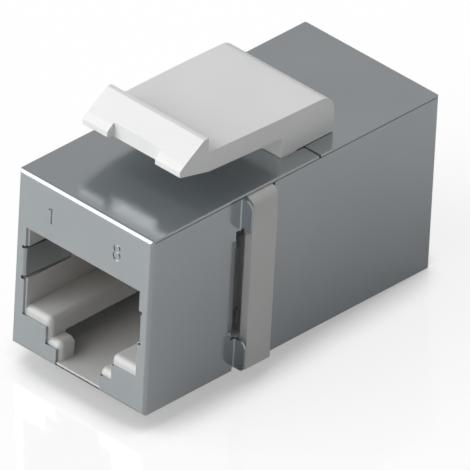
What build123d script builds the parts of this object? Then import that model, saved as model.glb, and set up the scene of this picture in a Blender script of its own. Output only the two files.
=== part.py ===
from build123d import *
import math
import os

# Shielded keystone coupler, in millimetres.
# While it is modelled, X is to the right, Y runs from the front face to the back and Z is up,
# with z = 0 on the underside of the body. At the end everything is moved so that the origin is on
# the panel seat, the plane of the fins that the panel's rear face meets.

# The body
body_width = 14.5
body_height = 16.15
body_length = 32.37
sheet = 0.2
fold_inside = 0.13
fold_outside = fold_inside + sheet
seam = 0.06
sheet_edge = 0.08
fit_gap = 0.05

# How far a cut runs out past what it cuts, and how far joined shapes run into each other
beyond = 1
bite = 0.01

# Front shell: where the panel seats, and how far each flap reaches
panel_seat = 10.0
fin_reach = 1.13
low_fin_foot = 0.33
low_fin_height = 2.65
high_fin_height = 2.85
fin_top_corner = 0.7
fin_low_corner = 0.45
fin_relief_height = 0.8
fin_relief_depth = 0.45
split_past_housing = 0.7
top_split_gap = 0.22
corner_relief = 0.3

# Between the fins the side wall dips into a groove, and its middle tab is bent in further
dip_start = 1.3
dip_radius = 3.6
dip_turn = 15
lip_into_slot = 0.15
tab_start = 0.1
tab_radius = 0.4
tab_turn = 8
tab_into_slot = 0.2
tab_from_low_relief = 1.5
tab_from_high_relief = 0.95

# Port opening in both plates
opening_half_width = 6.18
opening_foot = 3.1
opening_height = 8.05
step_half_width = 3.6
step_foot = 1.58
slot_half_width = 2.4

# Spring fingers, folded inward at both sides of an opening
finger_foot = 6.58
finger_height = 2.52
finger_slit = 0.28
finger_length = 4.65
finger_lean = 4.5

# Position numbers stamped over the ports
number_height = 1.5
number_stroke = 0.16
number_depth = 0.07
number_over_opening = 2.3

# Port inside both housings
front_setback = 0.03
cavity_half_width = 6.0
mouth_margin = 0.1
lintel_depth = 1.2
roof = 2.55
ledge_top = 3.88
ledge_thickness = 1.65
ledge_half_gap = 3.28
catch_top = 2.11
catch_depth = 1.75
catch_half_gap = 2.1
catch_back_round = 0.3
nose_top_round = 0.5
nose_side_round = 0.52
slot_floor = 0.45
floor_tongue_front = 0.08
under_ledge_half_width = 5.9
finger_room = 0.12
finger_bay_from_edge = 0.8

# Side strips and fixed hook on the front housing
strip_gap = 0.41
strip_width = 2.78
strip_proud = 0.74
strip_round = 0.8
strip_foot = 0.15
side_groove_depth = 0.65
strip_slot_depth = 0.6
strip_root = 0.2
hook_half_width = 5.28
hook_back = 8.5
hook_length = 3.5
hook_depth = 1.35
hook_tip = 0.45
hook_clearance = 0.12
housing_past_board = 1.1

# Board between the ports
board_thickness = 1.6
board_half_width = 6.25
board_foot = 1.4
board_under_roof = 2.05
board_clearance = 0.08
housing_joint_gap = 0.1
hole_radius = 0.33

# Contacts: bent from flat wire
contact_count = 8
contact_pitch = 1.016
wire_width = 0.35
wire_thickness = 0.3
wire_bend = 0.4
wire_nose_depth = 2.1
wire_nose_drop = 1.3
leg_into_comb = 0.7
leg_end_z = 8.2
tail_past_board = 0.5
tail_row_drop = 1.4
tail_drop_gap = 0.75

# Carriers: a plate over the wires' legs, with a comb as a piece of its own under its inner end
carrier_clearance = 0.06
carrier_nose_gap = 0.25
carrier_plate = 1.2
carrier_to_board = 1.55
comb_thickness = 1.7
comb_gap = 0.1
comb_slot_width = 0.55
comb_slot_depth = 1.1
comb_slot_under_leg = 0.7
comb_slot_under_plate = 1.0
comb_under_plate_gap = 0.05
groove_clearance = 0.03

# Latch: root block, arm, ridge and nose, in side view
latch_half_width = hook_half_width
latch_root_half_width = 5.45
latch_leg_end_wall = 0.1
latch_root_length = 5.87
latch_leg_length = 1.75
latch_leg_depth = 0.9
latch_rest_gap = 0.04
arm_underside = 1.83
arm_rise = 0.3
slab_rear = 3.55
slab_front = 3.95
ridge_back = 8.0
ridge_height = 1.36
ridge_flat = 0.5
ramp_foot_y = 5.38
ramp_foot_z = 3.88
nose_y = 4.86
nose_low_z = 2.92
nose_high_z = 3.45
throat_y = 8.2
root_round = 1.5
root_side_round = 0.35
nose_notch_half_width = 2.6
nose_notch_back = 5.6
socket_clearance = 0.06

# Hinge of the latch arm, where the real one bends
hinge_from_root = 0.85
hinge_radius = 0.75
hinge_gap = 0.05
press_angle = 13.5

half_width = body_width / 2
board_near = body_length / 2 - board_thickness / 2
board_far = body_length / 2 + board_thickness / 2
housing_front = sheet + front_setback
housing_half_width = half_width - sheet - fit_gap
housing_foot = sheet + fit_gap
housing_top = body_height - sheet - fit_gap
side_wall_top = body_height - sheet - seam
fin_back = panel_seat + sheet
low_fin_top = low_fin_foot + low_fin_height
high_fin_foot = side_wall_top - high_fin_height
low_relief_top = low_fin_top + fin_relief_height
high_relief_foot = high_fin_foot - fin_relief_height
strip_front = fin_back + strip_gap
strip_back = strip_front + strip_width
dip_y = panel_seat - dip_start
rear_side_start = strip_back + fit_gap
front_housing_end = board_far + housing_past_board
rear_housing_end = front_housing_end + housing_joint_gap
top_split = front_housing_end + split_past_housing
opening_top = opening_foot + opening_height
number_centre_z = opening_top + number_over_opening
tunnel_top = housing_top - roof
board_top = housing_top - board_under_roof
carrier_half_width = cavity_half_width - carrier_clearance
carrier_top = tunnel_top - carrier_clearance
carrier_front = wire_nose_depth + wire_thickness / 2 + carrier_nose_gap
carrier_back = board_near - carrier_to_board
comb_front = carrier_back - comb_thickness
plate_foot = carrier_top - carrier_plate
lower_depth = comb_front - comb_gap
wire_run_z = carrier_top - groove_clearance - wire_thickness / 2
latch_root_front = front_housing_end - latch_leg_end_wall - latch_leg_length
hinge_y = latch_root_front + hinge_from_root
latch_seat = body_height
hinge_z = latch_seat + arm_underside + hinge_radius


def block(x0, x1, y0, y1, z0, z1):
    """A box between two corners."""
    box = Box(x1 - x0, y1 - y0, z1 - z0)
    return Pos((x0 + x1) / 2, (y0 + y1) / 2, (z0 + z1) / 2) * box


def centred(half, y0, y1, z0, z1):
    """A box as wide on the left as on the right."""
    return block(-half, half, y0, y1, z0, z1)


def both_sides(shape):
    """The shape and its mirror image in the middle plane."""
    return shape + mirror(shape, about=Plane.YZ)


def turned_to_rear(shape):
    """Half a turn about the body's upright middle line: a front shape put at the rear."""
    turn = Pos(0, body_length / 2, 0) * Rot(0, 0, 180) * Pos(0, -body_length / 2, 0)
    return turn * shape


def side_profile(points, half):
    """An outline in the Y-Z plane, as wide on the left as on the right."""
    outline = Polyline([(0, y, z) for y, z in points], close=True)
    return extrude(make_face(outline), half, dir=(1, 0, 0), both=True)


def edges_at(shape, direction, first, first_at, second, second_at):
    """The edges along one axis that lie at two given coordinates."""
    reach = 0.005
    picked = shape.edges().filter_by(direction)
    picked = picked.filter_by_position(first, first_at - reach, first_at + reach)
    return picked.filter_by_position(second, second_at - reach, second_at + reach)


# Folded shells
def folded_box(top_reach, side_reach):
    """Front plate with four flaps folded back from it, and open seams between them."""
    reach = max(top_reach, side_reach)
    past = reach + beyond
    inner_half = half_width - sheet
    outside = centred(half_width, 0, reach, 0, body_height)
    outside = fillet(outside.faces().sort_by(Axis.Y)[0].edges(), fold_outside)
    inside = centred(inner_half, sheet, past, sheet, body_height - sheet)
    inside = fillet(inside.faces().sort_by(Axis.Y)[0].edges(), fold_inside)
    shell = outside - inside
    if top_reach > side_reach:
        shell -= centred(half_width + beyond, side_reach, past, -beyond, body_height - sheet)
    else:
        shell -= centred(half_width + beyond, top_reach, past, side_wall_top, body_height + beyond)
    top_seam = block(inner_half - bite, half_width + beyond, fold_outside, past,
                     side_wall_top, body_height - sheet)
    low_seam = block(inner_half - seam, inner_half, fold_outside, past, -beyond, sheet + bite)
    shell -= both_sides(top_seam + low_seam)
    long_edges = edges_at(shell, Axis.Y, Axis.Z, body_height, Axis.X, half_width)
    long_edges += edges_at(shell, Axis.Y, Axis.Z, body_height, Axis.X, -half_width)
    return fillet(long_edges, sheet_edge)


def bent_sheet(outer_radius, start_angle, turn, length, height):
    """Sheet bent about the origin's upright axis, from start_angle by turn degrees, then straight."""
    full = 2 * outer_radius
    ring = Circle(outer_radius) - Circle(outer_radius - sheet)
    wedge = make_face(Polyline([
        (0, 0),
        (full, 0),
        (full, full * math.tan(math.radians(turn / 2))),
        (full * math.cos(math.radians(turn)), full * math.sin(math.radians(turn))),
    ], close=True))
    straight = Pos(outer_radius, -bite) * Rectangle(sheet, length + bite, align=(Align.MAX, Align.MIN))
    outline = (ring & wedge) + Rot(0, 0, turn) * straight
    return extrude(Rot(0, 0, start_angle) * outline, height)


def port_opening():
    """Stepped port opening, through the plate."""
    main = centred(opening_half_width, -beyond, beyond, opening_foot, opening_top)
    step = centred(step_half_width, -beyond, beyond, step_foot, opening_foot + bite)
    slot = centred(slot_half_width, -beyond, fold_outside, sheet, step_foot + bite)
    slit_foot = finger_foot - finger_slit
    slit_top = finger_foot + finger_height + finger_slit
    slits = centred(opening_half_width + fold_outside, -beyond, beyond, slit_foot, slit_top)
    return main + step + slot + slits


def spring_finger():
    """Finger on the right, folded back from the plate's opening and leaning into the port."""
    bend_x = opening_half_width + fold_outside
    back_turned = mirror(bent_sheet(fold_outside, 0, 90 - finger_lean, finger_length, finger_height),
                         about=Plane.XZ)
    return Pos(bend_x, fold_outside, finger_foot) * Rot(0, 0, -90) * back_turned


def numeral_one(x):
    """A stamped 1, as a stem and a flag."""
    half = number_height / 2
    stem = Rectangle(number_stroke, number_height)
    flag = Rectangle(2.4 * number_stroke, 0.8 * number_stroke)
    flag = Pos(-number_stroke, half - number_stroke) * Rot(0, 0, 45) * flag
    return stamped(stem + flag, x)


def numeral_eight(x):
    """A stamped 8, as two rings."""
    upper = number_height * 0.26
    lower = number_height / 2 + number_stroke / 2 - upper
    top = Pos(0, number_height / 2 - upper) * (Circle(upper) - Circle(upper - number_stroke))
    low = Pos(0, lower - number_height / 2) * (Circle(lower) - Circle(lower - number_stroke))
    return stamped(top + low, x)


def stamped(outline, x):
    """A flat outline sunk into the plate's front face."""
    face_plane = Plane(origin=(x, 0, number_centre_z), x_dir=(1, 0, 0), z_dir=(0, -1, 0))
    return extrude(face_plane * outline, number_depth, dir=(0, 1, 0))


def position_numbers():
    """The first and the last contact's number, over the port."""
    outer = (contact_count - 1) / 2 * contact_pitch
    return numeral_one(-outer) + numeral_eight(outer)


def grounding_fins():
    """Two fins on the right, bent outward from the end of the side wall."""
    bend_x = half_width + fold_inside
    bend_y = panel_seat - fold_inside
    blade_length = fin_reach - fold_inside
    fins = []
    for foot, height in ((low_fin_foot, low_fin_height), (high_fin_foot, high_fin_height)):
        fin = mirror(bent_sheet(fold_outside, 0, 90, blade_length, height), about=Plane.YZ)
        fin = Pos(bend_x, bend_y, foot) * fin
        tip = half_width + fin_reach
        widest = min(blade_length * 0.9, height * 0.45)
        top_edge = edges_at(fin, Axis.Y, Axis.X, tip, Axis.Z, foot + height)
        fin = fillet(top_edge, min(fin_top_corner, widest))
        low_edge = edges_at(fin, Axis.Y, Axis.X, tip, Axis.Z, foot)
        fins.append(fillet(low_edge, min(fin_low_corner, widest)))
    return fins[0] + fins[1]


def side_wall_cuts():
    """What is cut from the end of the right side wall, where fins, reliefs, lips and tab go."""
    x0 = half_width - sheet - bite
    x1 = half_width + beyond
    bend_y = panel_seat - fold_inside
    relief_y = panel_seat - fin_relief_depth
    past = strip_front + beyond
    cuts = block(x0, x1, bend_y, past, -beyond, low_fin_top)
    cuts += block(x0, x1, bend_y, past, high_fin_foot, side_wall_top)
    cuts += block(x0, x1, relief_y, past, low_fin_top, low_relief_top)
    cuts += block(x0, x1, relief_y, past, high_relief_foot, high_fin_foot)
    return cuts + block(x0, x1, dip_y, past, low_relief_top, high_relief_foot)


def dipped_sheet(length, foot, top):
    """A stretch of the right side wall that dips inward and then runs straight for a length."""
    height = top - foot
    return Pos(half_width - dip_radius, dip_y, foot) * bent_sheet(dip_radius, 0, dip_turn, length, height)


def dipped_wall():
    """Two lips with a tab between them that is bent in further, all from one sheet."""
    tab_foot = low_relief_top + tab_from_low_relief
    tab_top = high_relief_foot - tab_from_high_relief
    dip = math.radians(dip_turn)
    bend_end_x = half_width - dip_radius * (1 - math.cos(dip))
    bend_end_y = dip_y + dip_radius * math.sin(dip)
    lip_length = (strip_front + lip_into_slot - bend_end_y) / math.cos(dip)
    wall = dipped_sheet(lip_length, low_relief_top, tab_foot)
    wall += dipped_sheet(lip_length, tab_top, high_relief_foot)
    wall += dipped_sheet(tab_start, tab_foot, tab_top)
    full = math.radians(dip_turn + tab_turn)
    centre_x = bend_end_x - tab_start * math.sin(dip) - tab_radius * math.cos(dip)
    centre_y = bend_end_y + tab_start * math.cos(dip) - tab_radius * math.sin(dip)
    tab_end = strip_front + tab_into_slot
    tab_length = (tab_end - centre_y - tab_radius * math.sin(full)) / math.cos(full)
    tab = bent_sheet(tab_radius, dip_turn, tab_turn, tab_length, tab_top - tab_foot)
    return wall + Pos(centre_x, centre_y, tab_foot) * tab


def make_front_shell():
    shell = folded_box(top_split - top_split_gap / 2, strip_front)
    shell -= port_opening()
    shell -= both_sides(side_wall_cuts())
    under_end = fin_back - fit_gap
    shell -= centred(half_width + beyond, under_end, strip_front + beyond, -beyond, low_fin_top)
    shell += both_sides(spring_finger() + grounding_fins() + dipped_wall())
    shell -= position_numbers()
    hook_window = centred(hook_half_width + hook_clearance, hook_back - hook_length - hook_clearance,
                          hook_back + hook_clearance, -beyond, sheet + bite)
    latch_notch = centred(latch_root_half_width + hook_clearance, latch_root_front - hook_clearance,
                          body_length, body_height - sheet - bite, body_height + beyond)
    return shell - hook_window - latch_notch


def make_rear_shell():
    """Modelled at the front, then turned to the rear."""
    top_reach = body_length - top_split - top_split_gap / 2
    side_reach = body_length - rear_side_start
    shell = folded_box(top_reach, side_reach)
    shell -= port_opening()
    shell += both_sides(spring_finger())
    shell -= position_numbers()
    top_corner = block(half_width - sheet - bite, half_width + beyond, side_reach - corner_relief,
                       side_reach + beyond, side_wall_top - corner_relief, side_wall_top)
    return turned_to_rear(shell - both_sides(top_corner))


# Housings
def port_block(end):
    """Block with the port's tunnel, its mouth, ledges, catch blocks and tab slot."""
    body = centred(housing_half_width, housing_front, end, housing_foot, housing_top)
    front_edges = body.faces().sort_by(Axis.Y)[0].edges()
    body = chamfer(front_edges, fold_inside)
    mouth_top = opening_top + mouth_margin
    lintel_back = housing_front + lintel_depth
    past = end + beyond
    body -= centred(cavity_half_width, -beyond, past, ledge_top, mouth_top)
    body -= centred(cavity_half_width, lintel_back, past, ledge_top, tunnel_top)
    body -= centred(catch_half_gap, -beyond, lower_depth, slot_floor, ledge_top + bite)
    body -= centred(ledge_half_gap, -beyond, lower_depth, catch_top, ledge_top + bite)
    catch_back = housing_front + catch_depth
    body -= centred(under_ledge_half_width, catch_back, lower_depth, slot_floor,
                    ledge_top - ledge_thickness)
    for inner, top in ((ledge_half_gap, ledge_top), (catch_half_gap, catch_top)):
        for side in (-inner, inner):
            upright = edges_at(body, Axis.Z, Axis.Y, housing_front, Axis.X, side)
            body = fillet(upright, nose_side_round)
        front_edge = edges_at(body, Axis.X, Axis.Y, housing_front, Axis.Z, top)
        body = fillet(front_edge, nose_top_round)
    back_edge = edges_at(body, Axis.X, Axis.Y, catch_back, Axis.Z, catch_top)
    body = fillet(back_edge, catch_back_round)
    finger_bay = block(opening_half_width - finger_bay_from_edge,
                       opening_half_width + sheet + finger_room, -beyond,
                       fold_outside + finger_length + finger_room, finger_foot - finger_slit,
                       finger_foot + finger_height + finger_slit)
    floor_tongue = centred(slot_half_width - fit_gap, floor_tongue_front,
                           housing_front + fold_inside + bite, housing_foot, slot_floor)
    return body - both_sides(finger_bay) + floor_tongue


def side_strips():
    """Proud bands up both sides and the flush band that joins them under the body."""
    outer = half_width + strip_proud
    strip = block(housing_half_width - strip_root, outer, strip_front, strip_back, strip_foot,
                  housing_top)
    top_edge = edges_at(strip, Axis.Y, Axis.X, outer, Axis.Z, housing_top)
    strip = fillet(top_edge, strip_round)
    under = centred(housing_half_width, fin_back + fit_gap, strip_back, fit_gap, housing_foot + bite)
    return both_sides(strip) + under


def fixed_hook():
    """Wedge under the body that takes the lower edge of the panel's cut-out."""
    front = hook_back - hook_length
    points = [
        (front, housing_foot + bite),
        (front, 0),
        (hook_back - hook_tip, -hook_depth),
        (hook_back, -hook_depth),
        (hook_back, housing_foot + bite),
    ]
    hook = side_profile(points, hook_half_width)
    tip_edge = edges_at(hook, Axis.X, Axis.Y, hook_back - hook_tip, Axis.Z, -hook_depth)
    return fillet(tip_edge, hook_tip / 2)


def board_pocket():
    """Room for the board at the front housing's open rear end."""
    half = board_half_width + board_clearance
    return centred(half, board_near - board_clearance, front_housing_end + beyond,
                   board_foot - board_clearance, board_top + board_clearance)


def latch_socket():
    """Pocket in the housing's roof for the latch's leg, closed at the back by the rear housing."""
    gap = socket_clearance
    foot = housing_top - latch_leg_depth
    return centred(latch_root_half_width + gap, latch_root_front - gap, front_housing_end + beyond,
                   foot - gap, body_height)


def side_groove():
    """Groove beside the strip on the right, which the side wall dips into."""
    return block(housing_half_width - side_groove_depth, half_width + beyond, dip_y - fit_gap,
                 strip_front, low_fin_top, high_fin_foot)


def strip_slot():
    """Slot under the front edge of the strip on the right, which the lips and the tab reach into."""
    return block(housing_half_width - side_groove_depth, half_width, strip_front - bite,
                 strip_front + strip_slot_depth, low_fin_top, high_fin_foot)


def make_front_housing():
    housing = port_block(front_housing_end)
    housing -= both_sides(side_groove())
    housing += side_strips() + fixed_hook()
    return housing - both_sides(strip_slot()) - board_pocket() - latch_socket()


def make_rear_housing():
    """Modelled at the front, then turned to the rear. Two tongues press the board home."""
    end = body_length - rear_housing_end
    housing = port_block(end)
    tongue_end = body_length - board_far - board_clearance
    tongue_half = board_half_width - board_clearance
    low = centred(tongue_half, end - bite, tongue_end, board_foot, ledge_top - board_clearance)
    high = centred(tongue_half, end - bite, tongue_end, tunnel_top + board_clearance, board_top)
    return turned_to_rear(housing + low + high)


# Contacts, carriers and board
def contact_x(number):
    """Where contact number 1 to 8 stands, counted from the left of its own port."""
    return (number - (contact_count + 1) / 2) * contact_pitch


def tail_z(number, at_rear):
    """Height of a contact's tail in the board. Odd and even numbers stand in two rows."""
    row = (number + 1) % 2 + (2 if at_rear else 0)
    return wire_run_z - row * tail_row_drop


def make_contact(number, at_rear):
    """One spring wire: tail through the board, run over the carrier, and a leg folded back."""
    tail = tail_z(number, at_rear)
    tail_end = body_length - board_near + tail_past_board
    drop_y = board_near - tail_drop_gap
    points = [(tail_end, tail)]
    if tail < wire_run_z:
        points += [(drop_y, tail), (drop_y, wire_run_z)]
    points += [(wire_nose_depth, wire_run_z), (wire_nose_depth, wire_run_z - wire_nose_drop)]
    points += [(comb_front + leg_into_comb, leg_end_z)]
    path = FilletPolyline(*[(0, y, z) for y, z in points], radius=wire_bend)
    start = Plane(origin=(0, tail_end, tail), x_dir=(1, 0, 0), z_dir=(0, -1, 0))
    wire = sweep(start * Rectangle(wire_width, wire_thickness), path)
    wire = Pos(contact_x(number), 0, 0) * wire
    return turned_to_rear(wire) if at_rear else wire


def make_carrier():
    """Plate that the contacts are bent round, with a groove on top for every wire."""
    carrier = centred(carrier_half_width, carrier_front, carrier_back, plate_foot, carrier_top)
    half_groove = wire_width / 2 + groove_clearance
    groove_foot = wire_run_z - wire_thickness / 2 - groove_clearance
    for number in range(1, contact_count + 1):
        x = contact_x(number)
        carrier -= block(x - half_groove, x + half_groove, 0, body_length, groove_foot, tunnel_top)
    return carrier


def make_comb():
    """Comb under the carrier's inner end, with a slot that guides the end of every wire."""
    comb = centred(carrier_half_width, comb_front, carrier_back, ledge_top + carrier_clearance,
                   plate_foot - comb_under_plate_gap)
    slot_foot = leg_end_z - comb_slot_under_leg
    slot_top = plate_foot - comb_slot_under_plate
    for number in range(1, contact_count + 1):
        x = contact_x(number)
        comb -= block(x - comb_slot_width / 2, x + comb_slot_width / 2, comb_front - beyond,
                      comb_front + comb_slot_depth, slot_foot, slot_top)
    return comb


def make_board():
    """Circuit board with a plated hole for every tail."""
    board = centred(board_half_width, board_near, board_far, board_foot, board_top)
    for number in range(1, contact_count + 1):
        for at_rear in (False, True):
            x = -contact_x(number) if at_rear else contact_x(number)
            hole = Cylinder(hole_radius, board_thickness + beyond, rotation=(90, 0, 0))
            board -= Pos(x, body_length / 2, tail_z(number, at_rear)) * hole
    return board


# Latch
def latch_outline():
    """Side view of the whole latch, leg included, as (y, z) points from the leg's foot round."""
    seat = latch_seat
    root_back = latch_root_front + latch_root_length
    foot = housing_top - latch_leg_depth
    rest = seat + latch_rest_gap
    leg_back = latch_root_front + latch_leg_length
    slope = (slab_front - slab_rear) / (root_back - ridge_back)
    ridge_top = seat + slab_front + ridge_height
    return [
        (latch_root_front, foot),
        (leg_back, foot),
        (leg_back, rest),
        (root_back, rest),
        (root_back, seat + slab_rear),
        (ridge_back, seat + slab_rear + slope * latch_root_length + slope
         * (latch_root_front - ridge_back)),
        (ridge_back, ridge_top),
        (ridge_back - ridge_flat, ridge_top),
        (ramp_foot_y, seat + ramp_foot_z),
        (nose_y, seat + nose_high_z),
        (nose_y, seat + nose_low_z),
        (throat_y, seat + arm_underside + arm_rise),
        (latch_root_front, seat + arm_underside),
    ]


def latch_plan():
    """The latch's outline from above: its arm widens from the ridge to the root."""
    root_back = latch_root_front + latch_root_length
    right = [
        (latch_half_width, 0),
        (latch_half_width, ridge_back),
        (latch_root_half_width, latch_root_front),
        (latch_root_half_width, root_back),
    ]
    left = [(-x, y) for x, y in reversed(right)]
    return extrude(make_face(Polyline(right + left, close=True)), 2 * body_height)


def whole_latch():
    """The latch as it was moulded, before it is parted at its hinge."""
    root_back = latch_root_front + latch_root_length
    latch = side_profile(latch_outline(), latch_root_half_width) & latch_plan()
    back_edge = edges_at(latch, Axis.X, Axis.Y, root_back, Axis.Z, latch_seat + slab_rear)
    latch = fillet(back_edge, root_round)
    corners = edges_at(latch, Axis.Z, Axis.Y, root_back, Axis.X, latch_root_half_width)
    corners += edges_at(latch, Axis.Z, Axis.Y, root_back, Axis.X, -latch_root_half_width)
    latch = fillet(corners, root_side_round)
    notch = centred(nose_notch_half_width, 0, nose_notch_back, latch_seat,
                    latch_seat + slab_front + ridge_height + beyond)
    return latch - notch


def hinge_disc(radius):
    """Round barrel across the latch on the hinge's axis."""
    return Pos(0, hinge_y, hinge_z) * Cylinder(radius, body_width, rotation=(0, 90, 0))


def arm_side(droop):
    """Everything in front of the hinge and above the arm's underside, lowered by droop degrees."""
    wedge = side_profile([
        (0, hinge_z - hinge_radius),
        (hinge_y, hinge_z - hinge_radius),
        (hinge_y, body_height * 2),
        (0, body_height * 2),
    ], half_width)
    swing = Pos(0, hinge_y, hinge_z) * Rot(droop, 0, 0) * Pos(0, -hinge_y, -hinge_z)
    return swing * wedge


def make_latch_arm():
    return whole_latch() & (arm_side(0) + hinge_disc(hinge_radius))


def make_latch_base():
    """The fixed root, with room for the arm to be pressed down."""
    room = arm_side(0) + arm_side(press_angle + 1) + hinge_disc(hinge_radius + hinge_gap)
    return whole_latch() - room


def write(name, shape):
    """Puts a piece in its final place and writes its file."""
    solid = Pos(0, -panel_seat, 0) * shape
    export_step(solid, os.path.join("parts", name + ".step"))


os.makedirs("parts", exist_ok=True)
write("front_shell", make_front_shell())
write("rear_shell", make_rear_shell())
write("front_housing", make_front_housing())
write("rear_housing", make_rear_housing())
write("latch_base", make_latch_base())
write("latch_arm", make_latch_arm())
write("front_contact_carrier", make_carrier())
write("rear_contact_carrier", turned_to_rear(make_carrier()))
write("front_comb", make_comb())
write("rear_comb", turned_to_rear(make_comb()))
write("circuit_board", make_board())
for number in range(1, contact_count + 1):
    write(f"front_contact_{number}", make_contact(number, at_rear=False))
    write(f"rear_contact_{number}", make_contact(number, at_rear=True))
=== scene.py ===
import math

import bmesh
import bpy
from mathutils import Matrix, Vector


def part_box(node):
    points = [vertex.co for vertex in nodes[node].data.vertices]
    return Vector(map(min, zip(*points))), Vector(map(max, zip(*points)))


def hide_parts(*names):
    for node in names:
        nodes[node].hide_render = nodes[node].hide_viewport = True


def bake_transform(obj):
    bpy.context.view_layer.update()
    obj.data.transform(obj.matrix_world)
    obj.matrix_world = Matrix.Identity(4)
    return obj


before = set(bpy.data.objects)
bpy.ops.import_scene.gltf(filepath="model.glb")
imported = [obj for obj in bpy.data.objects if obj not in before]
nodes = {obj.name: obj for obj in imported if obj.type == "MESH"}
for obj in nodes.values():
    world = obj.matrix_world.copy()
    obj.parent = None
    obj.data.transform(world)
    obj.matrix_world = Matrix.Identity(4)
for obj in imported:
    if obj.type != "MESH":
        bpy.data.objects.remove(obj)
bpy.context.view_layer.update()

MM = 0.001
# Heights are as in the frame. Y is counted here from the plate's front face, as on the object.
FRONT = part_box("front_shell")[0].y
BODY_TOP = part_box("front_shell")[1].z / MM


def at(x, y, z):
    """A point in millimetres, Y from the front face, in the frame's metres."""
    return Vector((x * MM, FRONT + y * MM, z * MM))


# Node trees
def linear(hex_colour):
    """An sRGB colour such as "#a0b0c0" as linear RGBA."""
    values = [int(hex_colour[i:i + 2], 16) / 255 for i in (1, 3, 5)]
    return (*(v / 12.92 if v <= 0.04045 else ((v + 0.055) / 1.055) ** 2.4 for v in values), 1.0)


def add(tree, kind, inputs=None, **settings):
    """A node with its settings, and its inputs set to numbers or linked to other nodes' sockets."""
    made = tree.nodes.new(kind)
    for name, value in settings.items():
        setattr(made, name, value)
    for name, value in (inputs or {}).items():
        socket = made.inputs[name]
        if isinstance(value, bpy.types.NodeSocket):
            tree.links.new(value, socket)
        else:
            socket.default_value = value
    return made


def linked(name, data):
    """A new object in the scene, of this mesh or camera."""
    made = bpy.data.objects.new(name, data)
    bpy.context.scene.collection.objects.link(made)
    return made


def new_material(name):
    material = bpy.data.materials.new(name)
    material.use_nodes = True
    material.node_tree.nodes.clear()
    return material, material.node_tree


def surface(tree, shader):
    add(tree, "ShaderNodeOutputMaterial", {"Surface": shader})


def per_metre(size_mm):
    """Texture scale at which one cell of a pattern is this many millimetres."""
    return 1.0 / (size_mm * MM)


def two_tone(tree, pattern, low, high):
    """A pattern's middle values spread over two colours."""
    tint = add(tree, "ShaderNodeValToRGB", {"Fac": pattern})
    for element, position, colour in zip(tint.color_ramp.elements, (0.3, 0.7), (low, high)):
        element.position = position
        element.color = linear(colour)
    return tint.outputs["Color"]


def spread(tree, pattern, low, high):
    """A pattern's middle values spread over two numbers."""
    return add(tree, "ShaderNodeMapRange", {
        "Value": pattern, "From Min": 0.3, "From Max": 0.7, "To Min": low, "To Max": high,
    }).outputs["Result"]


# Materials
def nickel_plated_steel():
    """Nickel-plated cold-rolled steel sheet, satin bright. Rolling leaves faint streaks along the
    sheet, and plating keeps them soft, so reflections are blurred but still read."""
    material, tree = new_material("nickel_plated_steel")
    streak_long, streak_wide, grain = 9.0, 0.5, 0.12
    place = add(tree, "ShaderNodeTexCoord").outputs["Object"]
    along = add(tree, "ShaderNodeMapping", {
        "Vector": place,
        "Scale": (per_metre(streak_wide), per_metre(streak_long), per_metre(streak_wide)),
    })
    streaks = add(tree, "ShaderNodeTexNoise", {
        "Vector": along.outputs["Vector"], "Scale": 1.0, "Detail": 3.0, "Roughness": 0.5,
    })
    cloud = add(tree, "ShaderNodeTexNoise", {
        "Vector": place, "Scale": per_metre(6.0), "Detail": 2.0, "Roughness": 0.5,
    })
    fine = add(tree, "ShaderNodeTexNoise", {
        "Vector": place, "Scale": per_metre(grain), "Detail": 2.0, "Roughness": 0.6,
    })
    relief = add(tree, "ShaderNodeBump", {
        "Height": fine.outputs["Fac"], "Strength": 0.04, "Distance": 0.02 * MM,
    })
    metal = add(tree, "ShaderNodeBsdfPrincipled", {
        "Base Color": two_tone(tree, cloud.outputs["Fac"], "#b6bcbf", "#babfc2"),
        "Metallic": 1.0,
        "Roughness": spread(tree, streaks.outputs["Fac"], 0.15, 0.20),
        "Normal": relief.outputs["Normal"],
    })
    surface(tree, metal.outputs["BSDF"])
    return material


def moulded_abs(name, light, dark, roughness):
    """ABS from a lightly spark-eroded mould: an even satin with a very fine grain."""
    material, tree = new_material(name)
    place = add(tree, "ShaderNodeTexCoord").outputs["Object"]
    flow = add(tree, "ShaderNodeTexNoise", {
        "Vector": place, "Scale": per_metre(5.0), "Detail": 2.0, "Roughness": 0.4,
    })
    grain = add(tree, "ShaderNodeTexNoise", {
        "Vector": place, "Scale": per_metre(0.08), "Detail": 2.0, "Roughness": 0.6,
    })
    relief = add(tree, "ShaderNodeBump", {
        "Height": grain.outputs["Fac"], "Strength": 0.08, "Distance": 0.01 * MM,
    })
    plastic = add(tree, "ShaderNodeBsdfPrincipled", {
        "Base Color": two_tone(tree, flow.outputs["Fac"], dark, light),
        "Roughness": spread(tree, grain.outputs["Fac"], roughness - 0.03, roughness + 0.05),
        "IOR": 1.53, "Normal": relief.outputs["Normal"],
    })
    surface(tree, plastic.outputs["BSDF"])
    return material


def gold_plate():
    """Phosphor bronze spring wire, gold plated: bright, warm, with fine draw lines."""
    material, tree = new_material("gold_plated_bronze")
    place = add(tree, "ShaderNodeTexCoord").outputs["Object"]
    drawn = add(tree, "ShaderNodeTexNoise", {
        "Vector": place, "Scale": per_metre(0.15), "Detail": 2.0, "Roughness": 0.5,
    })
    metal = add(tree, "ShaderNodeBsdfPrincipled", {
        "Base Color": linear("#e8c36a"), "Metallic": 1.0,
        "Roughness": spread(tree, drawn.outputs["Fac"], 0.18, 0.28),
    })
    surface(tree, metal.outputs["BSDF"])
    return material


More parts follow.
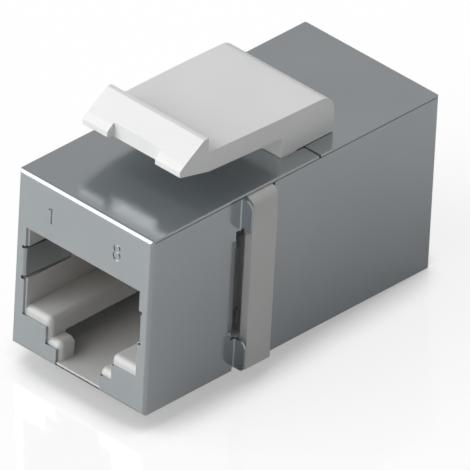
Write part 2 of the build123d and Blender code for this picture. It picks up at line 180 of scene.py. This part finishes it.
def solder_mask():
    """Glass-epoxy board under green solder mask: a glossy coat over a faint weave."""
    material, tree = new_material("solder_mask")
    place = add(tree, "ShaderNodeTexCoord").outputs["Object"]
    weave = add(tree, "ShaderNodeTexVoronoi", {"Vector": place, "Scale": per_metre(0.5)})
    tint = add(tree, "ShaderNodeValToRGB", {"Fac": weave.outputs["Distance"]})
    tint.color_ramp.elements[0].color = linear("#1c5a32")
    tint.color_ramp.elements[1].color = linear("#226a3c")
    relief = add(tree, "ShaderNodeBump", {
        "Height": weave.outputs["Distance"], "Strength": 0.1, "Distance": 0.02 * MM,
    })
    coat = add(tree, "ShaderNodeBsdfPrincipled", {
        "Base Color": tint.outputs["Color"], "Roughness": 0.25, "IOR": 1.5,
        "Normal": relief.outputs["Normal"],
    })
    surface(tree, coat.outputs["BSDF"])
    return material


# Latch: one moulding that bends at the root of its arm
RIDGE_BACK = 8.0  # millimetres, all of them, and places are counted from the front face
RIDGE_THICKNESS = 0.5
RIDGE_HALF_WIDTH = 5.28
SLAB_TOP_FRONT = 3.95  # heights above the body's top
SLAB_TOP_BACK = 3.55
RAMP_FOOT = (5.38, 3.88)
NOSE_TOP, NOSE_FOOT = 3.45, 2.92
THROAT = (8.2, 2.13)
ARM_FOOT = 1.83
ROOT_GAP = 0.05
LEG_LENGTH = 1.75
BEND_BEFORE, BEND_AFTER, BEND_STEP = 0.45, 2.55, 0.3  # where the arm gets extra edges to bend at
ARC_STEPS = 6
NOTCH_HALF_WIDTH = 2.6
NOTCH_BACK = 5.6
EDGE_ROUND = 0.16


def from_front(name, end):
    """Where a piece starts (0) or ends (1) behind the front face, millimetres."""
    return (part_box(name)[end].y - FRONT) / MM


def latch_half_width(y):
    """The latch widens evenly from its ridge to the root of its arm, millimetres."""
    root_front = from_front("latch_base", 0)
    root_half_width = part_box("latch_base")[1].x / MM
    part = min(1.0, max(0.0, (y - RIDGE_BACK) / (root_front - RIDGE_BACK)))
    return RIDGE_HALF_WIDTH + (root_half_width - RIDGE_HALF_WIDTH) * part


def arc_corner(before, corner, after, radius):
    """Points of an arc that rounds one corner of an outline."""
    if radius <= 0:
        return [corner]
    to_before, to_after = (before - corner).normalized(), (after - corner).normalized()
    half = to_before.angle(to_after) / 2
    reach = radius / math.tan(half)
    centre = corner + (to_before + to_after).normalized() * (radius / math.sin(half))
    start = corner + to_before * reach - centre
    end = corner + to_after * reach - centre
    points = []
    for i in range(ARC_STEPS + 1):
        mixed = start.lerp(end, i / ARC_STEPS).normalized() * radius
        points.append(centre + mixed)
    return points


def latch_side_view():
    """Outline of the latch in side view, millimetres, with its moulded rounds."""
    root_front, root_back = from_front("latch_base", 0), from_front("latch_base", 1)
    nose = from_front("latch_arm", 0)
    leg_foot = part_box("latch_base")[0].z / MM - BODY_TOP
    ridge_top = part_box("latch_arm")[1].z / MM - BODY_TOP
    leg_back = root_front + LEG_LENGTH
    corners = [
        # y, z above the body's top, corner radius
        (root_front, leg_foot, 0.0),
        (leg_back, leg_foot, 0.0),
        (leg_back, ROOT_GAP, 0.0),
        (root_back, ROOT_GAP, 0.15),
        (root_back, SLAB_TOP_BACK, 1.5),
        (RIDGE_BACK, SLAB_TOP_FRONT, 0.12),
        (RIDGE_BACK, ridge_top, 0.10),
        (RIDGE_BACK - RIDGE_THICKNESS, ridge_top, 0.18),
        (*RAMP_FOOT, 0.12),
        (nose, NOSE_TOP, 0.12),
        (nose, NOSE_FOOT, 0.12),
        (*THROAT, 1.5),
        (root_front, ARM_FOOT, 0.2),
    ]
    flat = [Vector((y, BODY_TOP + z)) for y, z, _ in corners]
    count = len(flat)
    outline = []
    for i, (_, _, radius) in enumerate(corners):
        outline += arc_corner(flat[i - 1], flat[i], flat[(i + 1) % count], radius)
    return outline


def with_bend_cuts(outline):
    """The outline with extra points across the root of the arm, where the real arm bends."""
    low = from_front("latch_base", 0) - BEND_BEFORE
    high = from_front("latch_base", 0) + BEND_AFTER
    count = int((high - low) / BEND_STEP) + 1
    cuts = [low + BEND_STEP * k for k in range(count)]
    result = []
    for i, here in enumerate(outline):
        result.append(here)
        there = outline[(i + 1) % len(outline)]
        if abs(there.x - here.x) < 2 * BEND_STEP:
            continue
        near, far = sorted((here.x, there.x))
        inside = [c for c in cuts if near + 0.1 < c < far - 0.1]
        inside.sort(reverse=there.x < here.x)
        result += [here.lerp(there, (c - here.x) / (there.x - here.x)) for c in inside]
    return result


def applied(piece):
    """The piece's mesh with its modifiers applied, in a new object."""
    graph = bpy.context.evaluated_depsgraph_get()
    mesh = bpy.data.meshes.new_from_object(piece.evaluated_get(graph))
    name = piece.name
    made = linked(name + "_final", mesh)
    bpy.data.objects.remove(piece)
    made.name = name
    return made


def latch_body():
    """The latch's side view across its width, tapered from root to ridge."""
    outline = with_bend_cuts(latch_side_view())
    work = bmesh.new()
    ends = []
    for side in (-1, 1):
        ends.append([work.verts.new(at(side, p.x, p.y)) for p in outline])
    count = len(outline)
    for i in range(count):
        j = (i + 1) % count
        work.faces.new((ends[0][i], ends[0][j], ends[1][j], ends[1][i]))
    work.faces.new(list(reversed(ends[0])))
    work.faces.new(ends[1])
    for cut_y in (RIDGE_BACK + 0.01, from_front("latch_base", 0) - 0.01):
        everything = list(work.verts) + list(work.edges) + list(work.faces)
        bmesh.ops.bisect_plane(work, geom=everything, plane_co=at(0, cut_y, 0),
                               plane_no=(0, 1, 0))
    for corner in work.verts:
        corner.co.x *= latch_half_width((corner.co.y - FRONT) / MM)
    bmesh.ops.recalc_face_normals(work, faces=work.faces)
    mesh = bpy.data.meshes.new("latch")
    work.to_mesh(mesh)
    work.free()
    return linked("latch", mesh)


def notch_cutter():
    """The block that is cut from the middle of the latch's nose."""
    block = bmesh.new()
    bmesh.ops.create_cube(block, size=1.0)
    mesh = bpy.data.meshes.new("notch_cutter")
    block.to_mesh(mesh)
    block.free()
    cutter = linked("notch_cutter", mesh)
    low = at(-NOTCH_HALF_WIDTH, 0, 17)
    high = at(NOTCH_HALF_WIDTH, NOTCH_BACK, 24)
    size = Matrix.Diagonal((*(high - low), 1))
    cutter.matrix_world = Matrix.Translation((low + high) / 2) @ size
    return cutter


def make_latch(material):
    latch = latch_body()
    cutter = notch_cutter()
    cut = latch.modifiers.new("notch", "BOOLEAN")
    cut.operation = "DIFFERENCE"
    cut.solver = "EXACT"
    cut.object = cutter
    round_over = latch.modifiers.new("edge_rounds", "BEVEL")
    round_over.width = EDGE_ROUND * MM
    round_over.segments = 3
    round_over.limit_method = "ANGLE"
    round_over.angle_limit = math.radians(35)
    round_over.use_clamp_overlap = True
    round_over.miter_outer = "MITER_ARC"
    even = latch.modifiers.new("normals", "WEIGHTED_NORMAL")
    even.keep_sharp = True
    latch.data.polygons.foreach_set("use_smooth", [True] * len(latch.data.polygons))
    bpy.context.view_layer.update()
    latch = applied(latch)
    bpy.data.objects.remove(cutter)
    latch.data.materials.clear()
    latch.data.materials.append(material)
    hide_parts("latch_base", "latch_arm")
    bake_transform(latch)


# Materials on the modelled pieces
def dress_pieces():
    metal = nickel_plated_steel()
    housing = moulded_abs("white_abs_housing", "#cccccb", "#c7c7c6", 0.22)
    latch_white = moulded_abs("white_abs_latch", "#eaebea", "#e6e7e6", 0.36)
    carrier = moulded_abs("grey_carrier_plastic", "#4a4a49", "#434342", 0.45)
    gold = gold_plate()
    board = solder_mask()
    by_node = {
        "front_shell": metal, "rear_shell": metal,
        "front_housing": housing, "rear_housing": housing,
        "front_contact_carrier": carrier, "rear_contact_carrier": carrier,
        "front_comb": carrier, "rear_comb": carrier,
        "circuit_board": board, "latch_arm": latch_white, "latch_base": latch_white,
    }
    for name, piece in nodes.items():
        finish = by_node.get(name, gold)
        piece.data.materials.clear()
        piece.data.materials.append(finish)
    return latch_white


# Floor, light and camera
HOOK_BACK = 8.5  # where the fixed hook's back face stands, millimetres from the front
FLOOR_REACH = 1.5  # metres


def make_floor():
    """The table that the coupler stands on, on its fixed hook and its rear lower edge."""
    hook_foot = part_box("front_housing")[0].z
    hook_back = FRONT + HOOK_BACK * MM
    slope = math.atan2(-hook_foot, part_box("rear_shell")[1].y - hook_back)
    signs = ((-1, -1), (1, -1), (1, 1), (-1, 1))
    corners = [(x * FLOOR_REACH, y * FLOOR_REACH, 0) for x, y in signs]
    mesh = bpy.data.meshes.new("floor")
    mesh.from_pydata(corners, [], [(0, 1, 2, 3)])
    floor = linked("floor", mesh)
    floor.location = (0, hook_back, hook_foot)
    floor.rotation_euler = (slope, 0, 0)
    material, tree = new_material("pale_floor")
    # Painted contact shadow: camera rays see a darker floor paint plus a white glow, and ambient
    # occlusion dims the glow near the coupler. This paints a soft shadow in place of most of the
    # real one.
    seen = add(tree, "ShaderNodeLightPath").outputs["Is Camera Ray"]
    open_sky = add(tree, "ShaderNodeAmbientOcclusion", {"Distance": 6 * MM}, samples=16)
    glow_with_painted_shadow = add(tree, "ShaderNodeMapRange", {
        "Value": open_sky.outputs["AO"], "From Min": 0.5, "From Max": 0.77,
        "To Min": 0.40, "To Max": 0.76,
    })
    lift = add(tree, "ShaderNodeMath", {0: seen, 1: glow_with_painted_shadow.outputs["Result"]},
               operation="MULTIPLY")
    paint = add(tree, "ShaderNodeMix", {
        0: seen, 6: linear("#d2d2d2"), 7: linear("#8a8a8a"),
    }, data_type="RGBA")
    glow = add(tree, "ShaderNodeEmission", {
        "Color": linear("#ffffff"), "Strength": lift.outputs[0],
    })
    board = add(tree, "ShaderNodeBsdfPrincipled", {
        "Base Color": paint.outputs[2], "Roughness": 0.06, "IOR": 1.5,
    })
    both = add(tree, "ShaderNodeAddShader", {
        0: board.outputs["BSDF"], 1: glow.outputs["Emission"],
    })
    surface(tree, both.outputs["Shader"])
    mesh.materials.append(material)


def make_world():
    """Soft studio surround: a wide softbox low at the front left, in a dome brighter behind."""
    world = bpy.data.worlds.new("studio")
    bpy.context.scene.world = world
    world.use_nodes = True
    tree = world.node_tree
    tree.nodes.clear()
    way = add(tree, "ShaderNodeTexCoord").outputs["Generated"]
    parts = add(tree, "ShaderNodeSeparateXYZ", {"Vector": way})
    dome = add(tree, "ShaderNodeMapRange", {
        "Value": parts.outputs["X"], "From Min": -0.4, "From Max": 0.8,
        "To Min": 0.38, "To Max": 0.42,
    }, interpolation_type="SMOOTHSTEP")
    brighter_behind = add(tree, "ShaderNodeMath", {
        0: parts.outputs["Y"], 1: 0.2, 2: dome.outputs["Result"],
    }, operation="MULTIPLY_ADD")
    softbox_way = Vector((-0.50, -0.77, 0.40)).normalized()
    near = add(tree, "ShaderNodeVectorMath", {0: way, 1: softbox_way}, operation="DOT_PRODUCT")
    softbox = add(tree, "ShaderNodeMapRange", {
        "Value": near.outputs["Value"], "From Min": 0.60, "From Max": 1.0,
        "To Min": 0.0, "To Max": 2.8,
    }, interpolation_type="SMOOTHSTEP")
    total = add(tree, "ShaderNodeMath", {
        0: brighter_behind.outputs[0], 1: softbox.outputs["Result"],
    }, operation="ADD")
    seen = add(tree, "ShaderNodeLightPath").outputs["Is Camera Ray"]
    strength = add(tree, "ShaderNodeMix", {0: seen, 2: total.outputs[0], 3: 1.0})
    ground = add(tree, "ShaderNodeBackground", {
        "Color": linear("#ffffff"), "Strength": strength.outputs[0],
    })
    add(tree, "ShaderNodeOutputWorld", {"Surface": ground.outputs["Background"]})


def make_camera():
    """Long lens, so near to a parallel view, at the photograph's angle."""
    azimuth, elevation, roll = math.radians(42.37), math.radians(32.65), math.radians(3.113)
    distance = 1.690
    target = at(1.242, 16.013, 7.112)
    level = math.cos(elevation)
    back = Vector((math.sin(azimuth) * level, -math.cos(azimuth) * level, math.sin(elevation)))
    right = Vector((math.cos(azimuth), math.sin(azimuth), 0))
    up = back.cross(right)
    right_rolled = right * math.cos(roll) + up * math.sin(roll)
    up_rolled = up * math.cos(roll) - right * math.sin(roll)
    turn = Matrix((right_rolled, up_rolled, back)).transposed()
    data = bpy.data.cameras.new("camera")
    data.lens = 1652.1
    data.sensor_width = 36.0
    data.clip_start = 0.1
    data.clip_end = 10.0
    camera = linked("camera", data)
    camera.matrix_world = Matrix.Translation(target + back * distance) @ turn.to_4x4()
    bpy.context.scene.camera = camera


latch_white = dress_pieces()
make_latch(latch_white)
make_floor()
make_world()
make_camera()
bpy.context.scene.view_settings.view_transform = "Standard"
